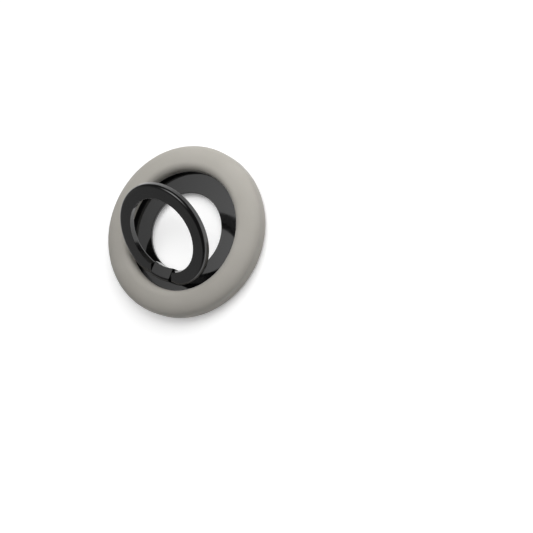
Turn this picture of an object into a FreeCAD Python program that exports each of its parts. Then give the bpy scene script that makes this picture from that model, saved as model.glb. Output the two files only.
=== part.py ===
import FreeCAD, Part
import math
import os

# A round magnetic phone grip with a folding finger ring.
# Millimetres. The contact face lies on Z = 0, the grip's axis is Z and the hinge is on the -Y side.

# Soft sleeve
sleeve_radius = 28.0
sleeve_height = 6.95
sleeve_width = 8.4
shoulder_drop = 3.0
crown_flat = 0.35
rim_rounding = 2.4
flank_angle = 8.0
foot_radius = 1.0
skirt_lift = 0.3
skirt_thickness = 1.25
crown_thickness = 1.25
flank_thickness = 0.9
lip_height = 0.5

# Tray
tray_floor_height = 2.25
tray_floor_thickness = 0.9
tray_wall_rise = 1.35
tray_wall_thickness = 0.9
tray_wall_rim_radius = 0.2
tray_flange_reach = 0.5
tray_flange_thickness = 0.7
tray_hole_margin = 0.15
tray_hole_chamfer = 0.12
lip_step = 0.1

# Finger ring
ring_margin = 2.0
ring_setback = 0.66
ring_width = 4.75
ring_thickness = 2.4
ring_face_rounding = 0.95
ring_face_edge = 0.1
ring_back_rounding = 0.8
ring_back_edge = 0.3
ring_open_angle = 37.7

# Hinge
hinge_lift = 2.8
hinge_inset = 0.825
ring_end_radius = 1.6
knuckle_width = 7.15
knuckle_rise = 1.5
knuckle_back = 2.25
knuckle_rounding = 0.85
knuckle_chamfer = 0.12
knuckle_side_gap = 0.6
pin_radius = 0.7
pin_blind_wall = 1.2
pin_sink = 0.3
pin_chamfer = 0.12
pin_running_clearance = 0.03
pin_fixed_clearance = 0.01
washer_radius = 1.15
washer_thickness = 0.25
washer_dish = 0.15
washer_bore_clearance = 0.06

# Core ring, magnets and shunt
core_channel_wall = 0.5
core_fit = 0.05
magnet_count = 16
magnet_width = 3.0
magnet_thickness = 1.8
magnet_spacing = 0.6
magnet_clearance = 0.05
shunt_thickness = 0.5

# Base cover, pad and screws
cover_lift = 0.25
cover_hole_margin = 1.1
pad_thickness = 0.5
pad_border = 0.7
pad_fit = 0.05
screw_count = 6
screw_shank_radius = 0.55
screw_head_radius = 1.05
screw_head_height = 0.6
screw_recess_length = 1.2
screw_recess_width = 0.3
screw_recess_depth = 0.3
screw_reach = 2.2
screw_clearance = 0.03

# Radii that follow from the sleeve, from the outside in
lip_radius = sleeve_radius - sleeve_width
tray_wall_radius = lip_radius - lip_step
tray_outer_radius = tray_wall_radius + tray_wall_thickness
tray_flange_radius = tray_outer_radius + tray_flange_reach
ring_outer_radius = tray_wall_radius - ring_margin
ring_inner_radius = ring_outer_radius - ring_width
tray_hole_radius = ring_inner_radius + tray_hole_margin
core_outer_radius = sleeve_radius - skirt_thickness - core_fit
core_inner_radius = tray_outer_radius + core_fit
core_flange_radius = tray_flange_radius + core_fit
channel_outer_radius = core_outer_radius - core_channel_wall
channel_inner_radius = channel_outer_radius - magnet_width - 2 * magnet_clearance
cover_outer_radius = core_outer_radius
cover_inner_radius = tray_hole_radius + cover_hole_margin
pad_outer_radius = cover_outer_radius - pad_border
pad_inner_radius = cover_inner_radius + pad_border
screw_circle_radius = (core_flange_radius + channel_inner_radius) / 2
first_screw_angle = 180 / screw_count

# Heights that follow from the contact face upwards
tray_bottom = tray_floor_height - tray_floor_thickness
tray_rim = tray_floor_height + tray_wall_rise
flange_top = tray_bottom + tray_flange_thickness
lip_bottom = tray_rim + core_fit
magnet_bottom = tray_bottom + magnet_clearance
magnet_top = magnet_bottom + magnet_thickness
shunt_top = magnet_top + shunt_thickness
core_top = sleeve_height - crown_thickness - core_fit
shoulder_height = sleeve_height - shoulder_drop
cover_recess_top = pad_thickness

# The sleeve's flank rises from the lip to a rounded rim, and the crown starts behind the rim
flank = math.radians(flank_angle)
rim_height = sleeve_height - rim_rounding
rim_radius = lip_radius + (rim_height - lip_bottom) * math.tan(flank) + rim_rounding / math.cos(flank)
crown_radius = rim_radius + crown_flat
core_knee_height = core_top - rim_height
core_knee_radius = rim_radius - math.sqrt((rim_rounding - flank_thickness) ** 2 - core_knee_height ** 2)

# Hinge axis, along X
hinge_arm = (ring_inner_radius + ring_outer_radius) / 2 - hinge_inset
hinge_y = -(hinge_arm + ring_setback)
hinge_z = tray_floor_height + hinge_lift
ring_bottom = hinge_z - ring_thickness / 2
ring_top = hinge_z + ring_thickness / 2
ring_end_x = knuckle_width / 2 + knuckle_side_gap

x_axis = FreeCAD.Vector(1, 0, 0)
z_axis = FreeCAD.Vector(0, 0, 1)
origin = FreeCAD.Vector(0, 0, 0)


def at(radius, height):
    return FreeCAD.Vector(radius, 0, height)


def line(start, end):
    return Part.LineSegment(at(*start), at(*end)).toShape()


def quarter(start, end, corner):
    # Rounds off a square corner with a quarter of an ellipse, or of a circle where both legs are alike.
    centre = (start[0] + end[0] - corner[0], start[1] + end[1] - corner[1])
    first = math.hypot(start[0] - centre[0], start[1] - centre[1])
    second = math.hypot(end[0] - centre[0], end[1] - centre[1])
    if abs(first - second) < 1e-9:
        half = math.sqrt(0.5)
        middle = (centre[0] + half * (corner[0] - centre[0]), centre[1] + half * (corner[1] - centre[1]))
        return Part.Arc(at(*start), at(*middle), at(*end)).toShape()
    if first > second:
        curve = Part.Ellipse(at(*start), at(*end), at(*centre))
        return Part.ArcOfEllipse(curve, 0, math.pi / 2).toShape()
    curve = Part.Ellipse(at(*end), at(*start), at(*centre))
    return Part.ArcOfEllipse(curve, 0, math.pi / 2).toShape()


def turned(edges):
    wire = Part.Wire(Part.__sortEdges__(edges))
    return Part.Face(wire).revolve(origin, z_axis, 360)


def turned_outline(points):
    closed = points + points[:1]
    return turned([line(start, end) for start, end in zip(closed, closed[1:])])


def tube(inner, outer, low, high):
    return turned_outline([(inner, low), (outer, low), (outer, high), (inner, high)])


def rounded_tube(inner, outer, low, high, low_roundings, high_roundings):
    # Each pair of roundings is given from the inside out.
    low_inner, low_outer = low_roundings
    high_inner, high_outer = high_roundings
    return turned([
        line((inner + low_inner, low), (outer - low_outer, low)),
        quarter((outer - low_outer, low), (outer, low + low_outer), (outer, low)),
        line((outer, low + low_outer), (outer, high - high_outer)),
        quarter((outer, high - high_outer), (outer - high_outer, high), (outer, high)),
        line((outer - high_outer, high), (inner + high_inner, high)),
        quarter((inner + high_inner, high), (inner, high - high_inner), (inner, high)),
        line((inner, high - high_inner), (inner, low + low_inner)),
        quarter((inner, low + low_inner), (inner + low_inner, low), (inner, low)),
    ])


def on_hinge(x, radius, length):
    # A round bar along the hinge axis, from x towards +X.
    return Part.makeCylinder(radius, length, FreeCAD.Vector(x, hinge_y, hinge_z), x_axis)


def around(shape, count, start_angle):
    copies = []
    for index in range(count):
        copy = shape.copy()
        copy.rotate(origin, z_axis, start_angle + index * 360 / count)
        copies.append(copy)
    return copies


def rounded_rim():
    # The arc that joins the flank to the crown, from its lower end to its upper end.
    def on_rim(angle):
        return at(rim_radius - rim_rounding * math.cos(angle), rim_height + rim_rounding * math.sin(angle))

    low = on_rim(flank)
    middle = on_rim((flank + math.pi / 2) / 2)
    return (low.x, low.z), Part.Arc(low, middle, on_rim(math.pi / 2)).toShape()


def core_outline(gap):
    # The core's upper outline, grown by a gap where the sleeve has to clear it.
    return core_outer_radius + gap, core_inner_radius - gap, core_top + gap, core_knee_radius - gap


def silicone_sleeve():
    outer, inner, top, knee = core_outline(core_fit)
    lip_top = lip_bottom + lip_height
    flank_top, rim = rounded_rim()
    return turned([
        line((outer, skirt_lift), (sleeve_radius - foot_radius, skirt_lift)),
        quarter((sleeve_radius - foot_radius, skirt_lift), (sleeve_radius, skirt_lift + foot_radius),
                (sleeve_radius, skirt_lift)),
        line((sleeve_radius, skirt_lift + foot_radius), (sleeve_radius, shoulder_height)),
        quarter((sleeve_radius, shoulder_height), (crown_radius, sleeve_height),
                (sleeve_radius, sleeve_height)),
        line((crown_radius, sleeve_height), (rim_radius, sleeve_height)),
        rim,
        line(flank_top, (lip_radius, lip_bottom)),
        line((lip_radius, lip_bottom), (inner, lip_bottom)),
        line((inner, lip_bottom), (inner, lip_top)),
        line((inner, lip_top), (knee, top)),
        line((knee, top), (crown_radius, top)),
        quarter((crown_radius, top), (outer, shoulder_height), (outer, top)),
        line((outer, shoulder_height), (outer, skirt_lift)),
    ])


def screw_holes(radius, low, high):
    hole = Part.makeCylinder(radius, high - low, FreeCAD.Vector(screw_circle_radius, 0, low), z_axis)
    return around(hole, screw_count, first_screw_angle)


def core_ring():
    outer, inner, top, knee = core_outline(0)
    lip_top = lip_bottom + lip_height - core_fit
    step_top = flange_top + core_fit
    body = turned([
        line((core_flange_radius, tray_bottom), (outer, tray_bottom)),
        line((outer, tray_bottom), (outer, shoulder_height)),
        quarter((outer, shoulder_height), (crown_radius, top), (outer, top)),
        line((crown_radius, top), (knee, top)),
        line((knee, top), (inner, lip_top)),
        line((inner, lip_top), (inner, step_top)),
        line((inner, step_top), (core_flange_radius, step_top)),
        line((core_flange_radius, step_top), (core_flange_radius, tray_bottom)),
    ])
    channel = tube(channel_inner_radius, channel_outer_radius, tray_bottom, shunt_top + magnet_clearance)
    holes = screw_holes(screw_shank_radius + screw_clearance, tray_bottom,
                        tray_bottom + screw_reach + screw_clearance)
    return body.cut([channel] + holes)


def magnets():
    inner = channel_inner_radius + magnet_clearance
    outer = channel_outer_radius - magnet_clearance
    spacing_angle = math.degrees(magnet_spacing / inner)
    sweep = 360 / magnet_count - spacing_angle
    section = Part.makePolygon([
        at(inner, magnet_bottom),
        at(outer, magnet_bottom),
        at(outer, magnet_top),
        at(inner, magnet_top),
        at(inner, magnet_bottom),
    ])
    arc = Part.Face(section).revolve(origin, z_axis, sweep)
    return around(arc, magnet_count, spacing_angle / 2)


def shunt_ring():
    inner = channel_inner_radius + magnet_clearance
    outer = channel_outer_radius - magnet_clearance
    return tube(inner, outer, magnet_top, shunt_top)


def base_cover():
    plate = tube(cover_inner_radius, cover_outer_radius, cover_lift, tray_bottom)
    recess = tube(pad_inner_radius - pad_fit, pad_outer_radius + pad_fit, cover_lift, cover_recess_top)
    shanks = screw_holes(screw_shank_radius + screw_clearance, cover_recess_top, tray_bottom)
    sink = Part.makeCone(screw_head_radius + screw_clearance, screw_shank_radius + screw_clearance,
                         screw_head_height, FreeCAD.Vector(screw_circle_radius, 0, cover_recess_top), z_axis)
    return plate.cut([recess] + shanks + around(sink, screw_count, first_screw_angle))


def contact_pad():
    return tube(pad_inner_radius, pad_outer_radius, 0, pad_thickness)


def base_screws():
    foot = FreeCAD.Vector(screw_circle_radius, 0, cover_recess_top)
    head = Part.makeCone(screw_head_radius, screw_shank_radius, screw_head_height, foot, z_axis)
    shank = Part.makeCylinder(screw_shank_radius, tray_bottom + screw_reach - cover_recess_top, foot, z_axis)
    slot = Part.makeBox(screw_recess_length, screw_recess_width, screw_recess_depth,
                        foot - FreeCAD.Vector(screw_recess_length / 2, screw_recess_width / 2, 0))
    cross = slot.copy()
    cross.rotate(foot, z_axis, 90)
    screw = head.fuse(shank).removeSplitter().cut([slot, cross])
    return Part.makeCompound(around(screw, screw_count, first_screw_angle))


def knuckle():
    # The block that fills the ring's gap: it stands on the tray, flush with its hole, and carries the pin.
    inner = tray_hole_radius
    outer = knuckle_back - hinge_y
    top = hinge_z + knuckle_rise
    block = turned([
        line((inner, tray_bottom), (outer, tray_bottom)),
        line((outer, tray_bottom), (outer, top - knuckle_rounding)),
        quarter((outer, top - knuckle_rounding), (outer - knuckle_rounding, top), (outer, top)),
        line((outer - knuckle_rounding, top), (inner + knuckle_chamfer, top)),
        line((inner + knuckle_chamfer, top), (inner, top - knuckle_chamfer)),
        line((inner, top - knuckle_chamfer), (inner, tray_bottom)),
    ])
    slab = Part.makeBox(knuckle_width, outer, top, FreeCAD.Vector(-knuckle_width / 2, -outer, 0))
    return block.common(slab)


def tray():
    plate = turned([
        line((tray_hole_radius, tray_bottom), (tray_flange_radius, tray_bottom)),
        line((tray_flange_radius, tray_bottom), (tray_flange_radius, flange_top)),
        line((tray_flange_radius, flange_top), (tray_outer_radius, flange_top)),
        line((tray_outer_radius, flange_top), (tray_outer_radius, tray_rim)),
        line((tray_outer_radius, tray_rim), (tray_wall_radius + tray_wall_rim_radius, tray_rim)),
        quarter((tray_wall_radius + tray_wall_rim_radius, tray_rim),
                (tray_wall_radius, tray_rim - tray_wall_rim_radius), (tray_wall_radius, tray_rim)),
        line((tray_wall_radius, tray_rim - tray_wall_rim_radius), (tray_wall_radius, tray_floor_height)),
        line((tray_wall_radius, tray_floor_height),
             (tray_hole_radius + tray_hole_chamfer, tray_floor_height)),
        line((tray_hole_radius + tray_hole_chamfer, tray_floor_height),
             (tray_hole_radius, tray_floor_height - tray_hole_chamfer)),
        line((tray_hole_radius, tray_floor_height - tray_hole_chamfer), (tray_hole_radius, tray_bottom)),
    ])
    bore = on_hinge(-knuckle_width, pin_radius + pin_running_clearance, 2 * knuckle_width)
    return plate.fuse(knuckle()).removeSplitter().cut(bore)


def pin_ends():
    # The pin stops short of the ring's outer wall on the left and is sunk under it on the right.
    reach = math.sqrt(ring_outer_radius ** 2 - (hinge_arm + pin_radius) ** 2)
    return -(reach - pin_blind_wall), reach - pin_sink


def finger_ring_folded():
    back = (ring_back_rounding, ring_back_edge)
    face = (ring_face_edge, ring_face_rounding)
    band = rounded_tube(ring_inner_radius, ring_outer_radius, ring_bottom, ring_top, back, face)
    # The folded ring lies a little nearer to the hinge than to the far wall.
    band.translate(FreeCAD.Vector(0, -ring_setback, 0))
    span = 2 * ring_outer_radius
    gap = Part.makeBox(2 * ring_end_x, span, span, FreeCAD.Vector(-ring_end_x, -span, 0))
    # Behind the axis the ends are rounded about it, so that they clear the tray's floor as the ring opens.
    beyond = Part.makeBox(span, span, span, FreeCAD.Vector(-span / 2, hinge_y - span, hinge_z - span / 2))
    swing = beyond.cut(on_hinge(-span, ring_end_radius, 2 * span))
    bore = on_hinge(pin_ends()[0], pin_radius + pin_fixed_clearance, span)
    return band.cut([gap, swing, bore])


def hinge_pin_folded():
    left, right = pin_ends()
    bar = on_hinge(left, pin_radius, right - left)
    ends = [edge for edge in bar.Edges if isinstance(edge.Curve, Part.Circle)]
    return bar.makeChamfer(pin_chamfer, ends)


def opened(shape):
    shape.rotate(FreeCAD.Vector(0, hinge_y, hinge_z), x_axis, ring_open_angle)
    return shape


def spring_washer(side):
    # A dished washer that leans on the knuckle's side and leaves the ring's end clear.
    bore = pin_radius + washer_bore_clearance
    start = knuckle_width / 2
    disc = turned_outline([
        (bore, start + washer_dish),
        (washer_radius, start),
        (washer_radius, start + washer_thickness),
        (bore, start + washer_dish + washer_thickness),
    ])
    disc.rotate(origin, FreeCAD.Vector(0, 1, 0), 90 * side)
    disc.translate(FreeCAD.Vector(0, hinge_y, hinge_z))
    return disc


pieces = {
    "silicone_sleeve": silicone_sleeve(),
    "core_ring": core_ring(),
    "shunt_ring": shunt_ring(),
    "tray": tray(),
    "base_cover": base_cover(),
    "contact_pad": contact_pad(),
    "base_screws": base_screws(),
    "finger_ring": opened(finger_ring_folded()),
    "hinge_pin": opened(hinge_pin_folded()),
    "left_spring_washer": spring_washer(-1),
    "right_spring_washer": spring_washer(1),
}
for number, magnet in enumerate(magnets(), 1):
    pieces["magnet_%02d" % number] = magnet

os.makedirs("parts", exist_ok=True)
for name, shape in pieces.items():
    shape.exportStep("parts/%s.step" % name)
    print(name, "solids", len(shape.Solids), "valid", shape.isValid(), "volume %.2f" % shape.Volume)
print("hinge axis at Y %.4f Z %.4f" % (hinge_y, hinge_z))
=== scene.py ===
import math

import bpy
from mathutils import Matrix, Vector

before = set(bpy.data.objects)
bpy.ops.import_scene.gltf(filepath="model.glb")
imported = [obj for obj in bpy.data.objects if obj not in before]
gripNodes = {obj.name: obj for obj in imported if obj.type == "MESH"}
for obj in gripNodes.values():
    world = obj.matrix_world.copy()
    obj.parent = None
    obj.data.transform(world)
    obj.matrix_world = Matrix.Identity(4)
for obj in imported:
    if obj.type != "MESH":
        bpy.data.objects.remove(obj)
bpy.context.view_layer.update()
millimetre = 0.001    # the scene is in metres
print("frame loaded,", len(gripNodes), "pieces")


# one node of a material tree, with its settings and its input values
def addNode(tree, kind, settings=None, **values):
    node = tree.nodes.new(kind)
    for name, value in (settings or {}).items():
        setattr(node, name, value)
    for name, value in values.items():
        node.inputs[name.replace("_", " ")].default_value = value
    return node


# a bare finish, with the shader's own values
def newFinish(name, **values):
    finish = bpy.data.materials.new(name)
    finish.use_nodes = True
    tree = finish.node_tree
    tree.nodes.clear()
    shader = addNode(tree, "ShaderNodeBsdfPrincipled", **values)
    output = addNode(tree, "ShaderNodeOutputMaterial")
    tree.links.new(shader.outputs["BSDF"], output.inputs["Surface"])
    place = addNode(tree, "ShaderNodeTexCoord").outputs["Object"]  # metres, moves with the piece
    return finish, tree, shader, place


# noise with grains of the given size in metres, optionally drawn out along the axes
def grain(tree, place, size, detail=2.0, stretch=None, rough=0.5):
    noise = addNode(tree, "ShaderNodeTexNoise", Scale=1.0 / size, Detail=detail, Roughness=rough)
    if stretch:
        drawn = addNode(tree, "ShaderNodeMapping", Scale=stretch)
        tree.links.new(place, drawn.inputs["Vector"])
        place = drawn.outputs["Vector"]
    tree.links.new(place, noise.inputs["Vector"])
    return noise.outputs["Fac"]


# turns a value between start and end into one between low and high
def spread(tree, source, low, high, start=0.3, end=0.7):
    remap = addNode(tree, "ShaderNodeMapRange", From_Min=start, From_Max=end, To_Min=low, To_Max=high)
    tree.links.new(source, remap.inputs["Value"])
    return remap.outputs["Result"]


# two tones mixed by a grain
def twoTones(tree, source, darkTone, lightTone, start=0.3, end=0.7):
    ramp = addNode(tree, "ShaderNodeValToRGB")
    ramp.color_ramp.elements[0].position = start
    ramp.color_ramp.elements[0].color = (*darkTone, 1.0)
    ramp.color_ramp.elements[1].position = end
    ramp.color_ramp.elements[1].color = (*lightTone, 1.0)
    tree.links.new(source, ramp.inputs["Fac"])
    return ramp.outputs["Color"]


# relief from a grain, depth in metres, on top of an earlier relief
def relief(tree, source, depth, strength=1.0, under=None):
    bump = addNode(tree, "ShaderNodeBump", Strength=strength, Distance=depth)
    tree.links.new(source, bump.inputs["Height"])
    if under:
        tree.links.new(under, bump.inputs["Normal"])
    return bump.outputs["Normal"]


# two values joined by one step of arithmetic
def joined(tree, operation, first, second):
    total = addNode(tree, "ShaderNodeMath", {"operation": operation})
    tree.links.new(first, total.inputs[0])
    tree.links.new(second, total.inputs[1])
    return total.outputs[0]


# gives the shader its tones, roughness and relief
def feed(tree, shader, tones, rough, normal=None):
    tree.links.new(tones, shader.inputs["Base Color"])
    tree.links.new(rough, shader.inputs["Roughness"])
    if normal:
        tree.links.new(normal, shader.inputs["Normal"])


def wear(finish, *names):
    for name in names:
        mesh = gripNodes[name].data
        mesh.materials.clear()
        mesh.materials.append(finish)


siliconeSkin = {
    "tones": ((0.393, 0.375, 0.340), (0.418, 0.400, 0.366)),
    "cloudSize": 0.011,       # soft clouds in the pigment
    "rough": (0.58, 0.70),
    "speckSize": 0.00012,     # dry surface grain
    "speckDepth": 0.000012,
    "speckStrength": 0.5,
    "waveSize": 0.006,        # slow unevenness of the moulding
    "waveDepth": 0.00002,
    "ior": 1.41,
    "sheen": 0.06,
    "sheenRough": 0.5,
}


def makeSiliconeSkin(look):
    values = {"IOR": look["ior"], "Sheen_Weight": look["sheen"], "Sheen_Roughness": look["sheenRough"]}
    finish, tree, shader, place = newFinish("siliconeSkin", **values)
    clouds = grain(tree, place, look["cloudSize"], detail=3.0)
    specks = grain(tree, place, look["speckSize"], rough=0.6)
    waves = grain(tree, place, look["waveSize"], detail=1.0)
    tones = twoTones(tree, clouds, *look["tones"])
    slow = relief(tree, waves, look["waveDepth"])
    fine = relief(tree, specks, look["speckDepth"], look["speckStrength"], slow)
    feed(tree, shader, tones, spread(tree, specks, *look["rough"]), fine)
    return finish


wear(makeSiliconeSkin(siliconeSkin), "silicone_sleeve")
print("sleeve finished")


blackCoat = {
    "tones": ((0.0030, 0.0030, 0.0031), (0.0045, 0.0045, 0.0047)),
    "trayRough": (0.07, 0.11),
    "ringRough": (0.10, 0.15),
    "poolSize": 0.004,        # slow drift of the coat's gloss
    "peelSize": 0.0005,       # fine peel of a sprayed coat
    "peelDepth": 0.0000006,
    "ior": 1.8,
}


def makeBlackCoat(name, look, rough):
    finish, tree, shader, place = newFinish(name, IOR=look["ior"])
    pools = grain(tree, place, look["poolSize"], detail=3.0)
    peel = grain(tree, place, look["peelSize"], detail=1.0)
    tones = twoTones(tree, pools, *look["tones"])
    feed(tree, shader, tones, spread(tree, pools, *rough), relief(tree, peel, look["peelDepth"]))
    return finish


wear(makeBlackCoat("blackTrayCoat", blackCoat, blackCoat["trayRough"]), "tray")
wear(makeBlackCoat("blackRingCoat", blackCoat, blackCoat["ringRough"]), "finger_ring")
print("tray and ring coated")


darkSteel = {
    "tones": ((0.055, 0.055, 0.058), (0.095, 0.095, 0.099)),
    "rough": (0.28, 0.40),
    "lineSize": 0.00025,
    "lineDepth": 0.000002,
    "lineStrength": 0.4,
    "alongPin": (0.08, 1.0, 1.0),   # drawing lines run along the pin
    "turned": (1.0, 0.12, 0.12),    # turning lines run across the hinge axis
    "metal": 0.9,
}


def makeDarkSteel(name, look, stretch):
    finish, tree, shader, place = newFinish(name, Metallic=look["metal"])
    lines = grain(tree, place, look["lineSize"], stretch=stretch)
    tones = twoTones(tree, lines, *look["tones"])
    drawn = relief(tree, lines, look["lineDepth"], look["lineStrength"])
    feed(tree, shader, tones, spread(tree, lines, *look["rough"]), drawn)
    return finish


drawnSteel = makeDarkSteel("drawnPinSteel", darkSteel, darkSteel["alongPin"])
turnedSteel = makeDarkSteel("turnedSteel", darkSteel, darkSteel["turned"])
wear(drawnSteel, "hinge_pin")
wear(turnedSteel, "left_spring_washer", "right_spring_washer", "base_screws")
print("hinge steel and screws finished")


corePlastic = {
    "tones": ((0.030, 0.030, 0.031), (0.042, 0.042, 0.043)),
    "flowSize": 0.005,
    "rough": (0.52, 0.66),
    "sparkSize": 0.00016,     # spark-eroded mould texture
    "sparkDepth": 0.00001,
    "sparkStrength": 0.6,
}


def makeCorePlastic(look):
    finish, tree, shader, place = newFinish("corePlastic")
    sparks = grain(tree, place, look["sparkSize"])
    flow = grain(tree, place, look["flowSize"])
    tones = twoTones(tree, flow, *look["tones"])
    pitted = relief(tree, sparks, look["sparkDepth"], look["sparkStrength"])
    feed(tree, shader, tones, spread(tree, sparks, *look["rough"]), pitted)
    return finish


wear(makeCorePlastic(corePlastic), "core_ring", "base_cover")


padRubber = {
    # the dark tone is painted shade in the creases between the cells, the light tone is the rubber's
    # own colour
    "tones": ((0.018, 0.018, 0.019), (0.030, 0.030, 0.031)),
    "creaseShadeReach": 0.25,         # how far the painted shade of the creases reaches in from a cell's edge
    "rough": (0.60, 0.78),
    "cellSize": 0.00045,      # leather-like cells of the soft pad
    "cellEdge": 0.2,          # how far a cell's rounded edge reaches in
    "cellDepth": 0.00004,
    "cellStrength": 0.7,
    "speckSize": 0.0001,
    "speckDepth": 0.000006,
    "speckStrength": 0.5,
}


def makePadRubber(look):
    finish, tree, shader, place = newFinish("padRubber")
    toEdge = {"feature": "DISTANCE_TO_EDGE"}
    cells = addNode(tree, "ShaderNodeTexVoronoi", toEdge, Scale=1.0 / look["cellSize"])
    tree.links.new(place, cells.inputs["Vector"])
    cell = cells.outputs["Distance"]
    specks = grain(tree, place, look["speckSize"])
    # dark at each cell's edge: painted shade in the creases between the cells
    tones = twoTones(tree, cell, *look["tones"], start=0.0, end=look["creaseShadeReach"])
    domes = spread(tree, cell, 0.0, 1.0, 0.0, look["cellEdge"])
    under = relief(tree, domes, look["cellDepth"], look["cellStrength"])
    fine = relief(tree, specks, look["speckDepth"], look["speckStrength"], under)
    feed(tree, shader, tones, spread(tree, specks, *look["rough"]), fine)
    return finish


wear(makePadRubber(padRubber), "contact_pad")
print("core and underside finished")


plating = {
    "nickel": ((0.50, 0.48, 0.44), (0.60, 0.58, 0.54)),
    "zinc": ((0.42, 0.43, 0.45), (0.55, 0.56, 0.58)),
    "rough": (0.22, 0.34),
    "crystalSize": 0.0012,
}


def makePlating(name, look, tones):
    finish, tree, shader, place = newFinish(name, Metallic=1.0)
    crystals = grain(tree, place, look["crystalSize"], detail=3.0)
    feed(tree, shader, twoTones(tree, crystals, *tones), spread(tree, crystals, *look["rough"]))
    return finish


magnetNames = sorted(name for name in gripNodes if name.startswith("magnet_"))
wear(makePlating("nickelPlate", plating, plating["nickel"]), *magnetNames)
wear(makePlating("zincPlate", plating, plating["zinc"]), "shunt_ring")
print("magnets and shunt plated")


picture = {
    "pixels": 533.0,
    "sensor": 36.0,
    "swing": 29.0,            # degrees from straight above, towards +X
    "turn": -0.5,             # degrees about the grip's axis
    "roll": 23.27,            # degrees that the picture is tilted
    "focal": 1559.0,          # in pixels
    "scale": 3.104,           # pixels for a millimetre at the tray floor
    "floorCentre": (-87.80, 0.08),   # tray floor's centre from the picture's, pixels before the roll
    "floorHeight": 0.00225,
    "clip": (0.01, 20.0),
}


def setCamera(view):
    swing = math.radians(view["swing"])
    roll = math.radians(view["roll"])
    turn = Matrix.Rotation(math.radians(view["turn"]), 3, "Z")
    across = turn @ Vector((math.cos(swing), 0.0, -math.sin(swing)))
    along = turn @ Vector((0.0, 1.0, 0.0))
    towards = turn @ Vector((math.sin(swing), 0.0, math.cos(swing)))
    pixel = millimetre / view["scale"]   # metres for a pixel at the tray floor
    away = view["focal"] * pixel
    place = Vector((0.0, 0.0, view["floorHeight"])) + towards * away
    place -= across * view["floorCentre"][0] * pixel + along * view["floorCentre"][1] * pixel
    right = across * math.cos(roll) + along * math.sin(roll)
    up = along * math.cos(roll) - across * math.sin(roll)
    lens = bpy.data.cameras.new("gripCamera")
    lens.sensor_width = view["sensor"]
    lens.lens = view["focal"] / view["pixels"] * view["sensor"]
    lens.clip_start, lens.clip_end = view["clip"]
    camera = bpy.data.objects.new("gripCamera", lens)
    bpy.context.scene.collection.objects.link(camera)
    camera.matrix_world = Matrix((right, up, towards)).transposed().to_4x4()
    camera.location = place
    bpy.context.scene.camera = camera


setCamera(picture)
print("camera placed")


paleFloor = {
    "tone": 0.90,
    "lampFoot": (0.015, 0.13, 0.0),   # where the key lamp lights the floor most
    # distance from the lamp's foot, and the light added there to keep the floor white
    "lifts": [(0.06, 0.0), (0.245, 0.64), (0.28, 0.66), (0.46, 0.0)],
    "reach": 6.0,             # half its width
    "drop": 0.00002,          # just under the contact face
}


def makeFloor(look):
    reach = look["reach"]
    corners = [(-reach, -reach), (reach, -reach), (reach, reach), (-reach, reach)]
    mesh = bpy.data.meshes.new("studioFloor")
    mesh.from_pydata([(x, y, -look["drop"]) for x, y in corners], [], [(0, 1, 2, 3)])
    floor = bpy.data.objects.new("studioFloor", mesh)
    bpy.context.scene.collection.objects.link(floor)
    mesh.materials.append(makeFloorFinish(look))


def makeFloorFinish(look):
    finish = bpy.data.materials.new("paleFloor")
    finish.use_nodes = True
    tree = finish.node_tree
    tree.nodes.clear()
    place = addNode(tree, "ShaderNodeTexCoord").outputs["Object"]
    away = addNode(tree, "ShaderNodeVectorMath", {"operation": "DISTANCE"})
    away.inputs[1].default_value = look["lampFoot"]
    tree.links.new(place, away.inputs[0])
    farthest = look["lifts"][-1][0]
    lifts = addNode(tree, "ShaderNodeValToRGB")
    stops = lifts.color_ramp.elements
    stops.remove(stops[1])
    for index, (distance, level) in enumerate(look["lifts"]):
        stop = stops[0] if index == 0 else stops.new(distance / farthest)
        stop.position = distance / farthest
        stop.color = (level, level, level, 1.0)
    tree.links.new(spread(tree, away.outputs["Value"], 0.0, 1.0, 0.0, farthest), lifts.inputs["Fac"])
    path = addNode(tree, "ShaderNodeLightPath").outputs
    mirrored = joined(tree, "MAXIMUM", path["Is Glossy Ray"], path["Is Transmission Ray"])
    seen = joined(tree, "MAXIMUM", path["Is Camera Ray"], mirrored)
    matt = addNode(tree, "ShaderNodeBsdfDiffuse", Color=(look["tone"], look["tone"], look["tone"], 1.0))
    lift = addNode(tree, "ShaderNodeEmission")
    both = addNode(tree, "ShaderNodeAddShader")
    output = addNode(tree, "ShaderNodeOutputMaterial")
    tree.links.new(joined(tree, "MULTIPLY", seen, lifts.outputs["Color"]), lift.inputs["Strength"])
    tree.links.new(matt.outputs[0], both.inputs[0])
    tree.links.new(lift.outputs[0], both.inputs[1])
    tree.links.new(both.outputs[0], output.inputs["Surface"])
    return finish


makeFloor(paleFloor)
print("floor laid")


studioSky = {
    "room": 0.05,             # level of the dim room
    "horizon": 0.35,          # level of the backdrop along the horizon
    "rise": 0.25,             # how high the backdrop reaches
    "panels": [               # soft bright panels in the sky, with the angle to their edge
        {"aim": (-0.19, 0.11, 0.975), "edge": 30.5, "bright": 3.7},
        {"aim": (-0.80, -0.60, 0.10), "edge": 60.0, "bright": 0.30},
    ],
    "falloff": 2.0,           # how fast a panel dims towards its edge
}


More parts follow.
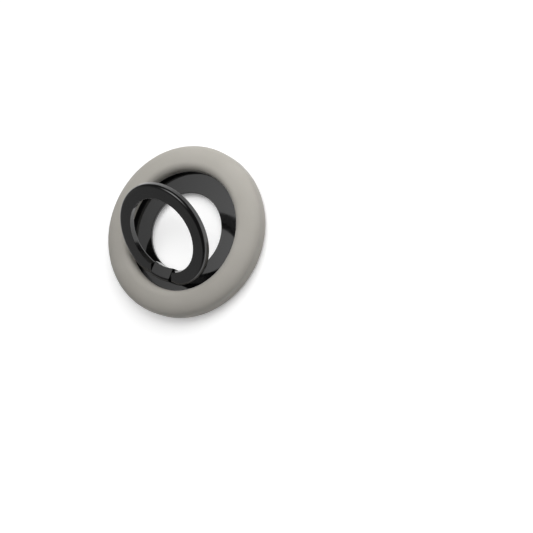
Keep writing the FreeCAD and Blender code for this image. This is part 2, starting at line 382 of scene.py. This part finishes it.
def makeSky(look):
    world = bpy.data.worlds.new("studioSky")
    bpy.context.scene.world = world
    world.use_nodes = True
    tree = world.node_tree
    tree.nodes.clear()
    place = addNode(tree, "ShaderNodeTexCoord").outputs["Generated"]

    def towardsAim(aim):
        facing = addNode(tree, "ShaderNodeVectorMath", {"operation": "DOT_PRODUCT"})
        facing.inputs[1].default_value = Vector(aim).normalized()
        tree.links.new(place, facing.inputs[0])
        return facing.outputs["Value"]

    height = addNode(tree, "ShaderNodeMath", {"operation": "ABSOLUTE"})
    tree.links.new(towardsAim((0.0, 0.0, 1.0)), height.inputs[0])
    level = spread(tree, height.outputs[0], look["horizon"], look["room"], 0.0, look["rise"])
    for panel in look["panels"]:
        edge = math.cos(math.radians(panel["edge"]))
        soft = addNode(tree, "ShaderNodeMath", {"operation": "POWER"})
        soft.inputs[1].default_value = look["falloff"]
        tree.links.new(spread(tree, towardsAim(panel["aim"]), 0.0, 1.0, edge, 1.0), soft.inputs[0])
        bright = spread(tree, soft.outputs[0], 0.0, panel["bright"], 0.0, 1.0)
        level = joined(tree, "ADD", level, bright)
    sky = addNode(tree, "ShaderNodeBackground")
    output = addNode(tree, "ShaderNodeOutputWorld")
    tree.links.new(level, sky.inputs["Strength"])
    tree.links.new(sky.outputs[0], output.inputs["Surface"])


makeSky(studioSky)


keySoftbox = {
    "aim": (0.08, 0.67, 0.84),
    "away": 0.20,
    "size": 0.20,
    "power": 0.405,
}
lowFill = {                   # soft light from far away, for the sleeve's steep side
    "aim": (0.90, -0.40, 0.18),
    "angle": 40.0,
    "power": 0.24,            # watts for a square metre
}


def placeLamp(lamp, look):
    aim = Vector(look["aim"]).normalized()
    lamp.energy = look["power"]
    holder = bpy.data.objects.new(lamp.name, lamp)
    bpy.context.scene.collection.objects.link(holder)
    holder.location = aim * look.get("away", 0.0)   # a far light needs no place
    holder.rotation_mode = "QUATERNION"
    holder.rotation_quaternion = (-aim).to_track_quat("-Z", "Y")
    holder.visible_camera = False
    holder.visible_glossy = False   # the panels in the sky make the gloss


def addKey(look):
    lamp = bpy.data.lights.new("keySoftbox", "AREA")
    lamp.shape = "SQUARE"
    lamp.size = look["size"]
    placeLamp(lamp, look)


def addFill(look):
    lamp = bpy.data.lights.new("lowFill", "SUN")
    lamp.angle = math.radians(look["angle"])
    placeLamp(lamp, look)


addKey(keySoftbox)
addFill(lowFill)
bpy.context.scene.view_settings.view_transform = "Standard"
print("studio lit")
